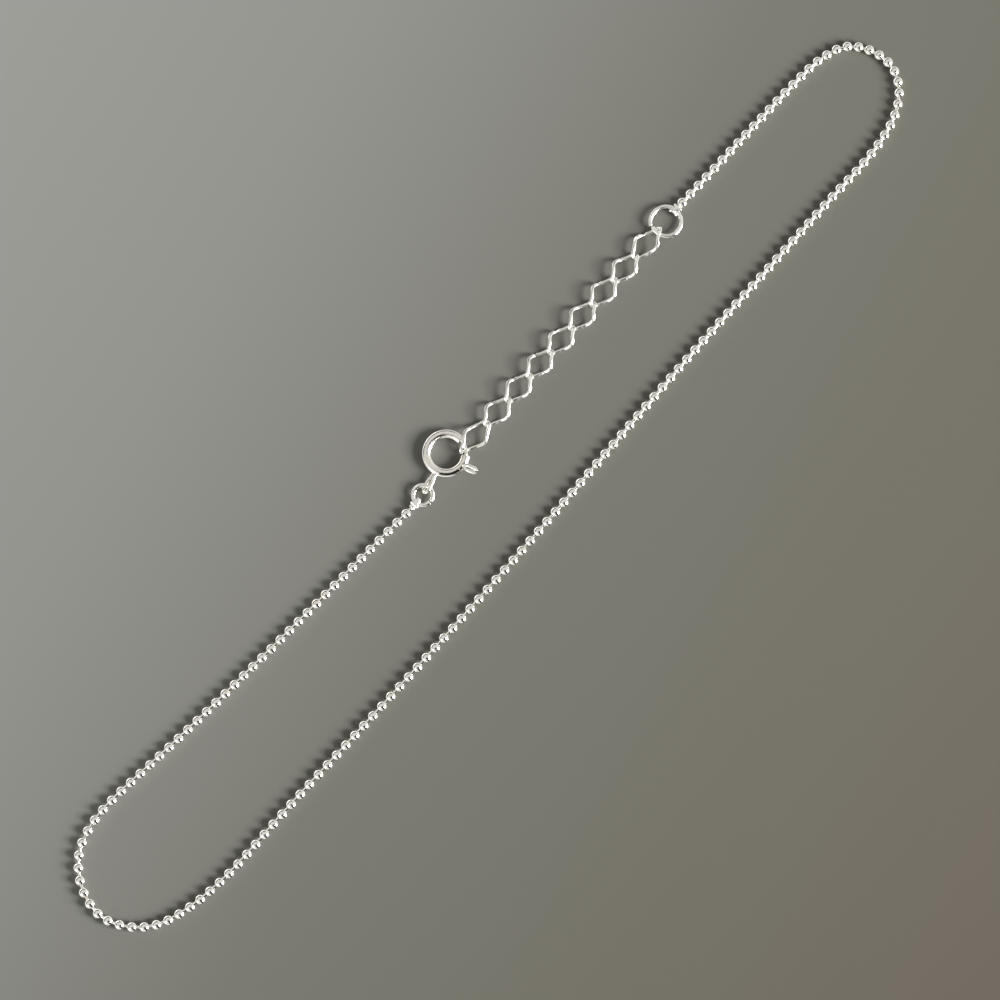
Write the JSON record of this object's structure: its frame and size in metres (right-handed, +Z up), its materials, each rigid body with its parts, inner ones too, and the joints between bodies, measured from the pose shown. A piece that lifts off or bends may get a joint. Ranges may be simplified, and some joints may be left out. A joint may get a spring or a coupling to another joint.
{
  "type": "ball chain anklet with extender and spring ring clasp",
  "caption": "Fine silver anklet: a ball chain closed into a loop by a short extender of twisted diamond links and a spring ring clasp.",
  "frame": {"origin": "under the middle of the anklet's box, on the surface it lies on", "axes": "+X along the length of the loop as it lies, from the clasp side to the extender side; +Y across the loop, towards the clasp; +Z up from the surface"},
  "size_m": [0.122, 0.0164, 0.0015],
  "materials": {
    "bright_silver": "polished silver",
    "satin_silver": "polished silver, softened by wear"
  },
  "bodies": {
    "anklet": {"ball_chain": "bright_silver", "clasp_side_strap": "bright_silver", "jump_ring": "bright_silver", "clasp_ring": "satin_silver", "extender_link_01": "bright_silver", "extender_link_02": "bright_silver", "extender_link_03": "bright_silver", "extender_link_04": "bright_silver", "extender_link_05": "bright_silver", "extender_link_06": "bright_silver", "extender_link_07": "bright_silver", "extender_link_08": "bright_silver", "extender_link_09": "bright_silver", "end_ring": "bright_silver", "extender_side_strap": "bright_silver"},
    "bolt": {"clasp_bolt": "bright_silver"}
  },
  "joints": [
    {"name": "bolt_draw", "type": "hinge", "parent": "anklet", "child": "bolt", "pos_m": [-0.00111, 0.00567, 0.00073], "axis": [0, 0, -1], "range_deg": [0, 56], "stiffness_Nm_per_rad": 0.0005}
  ]
}
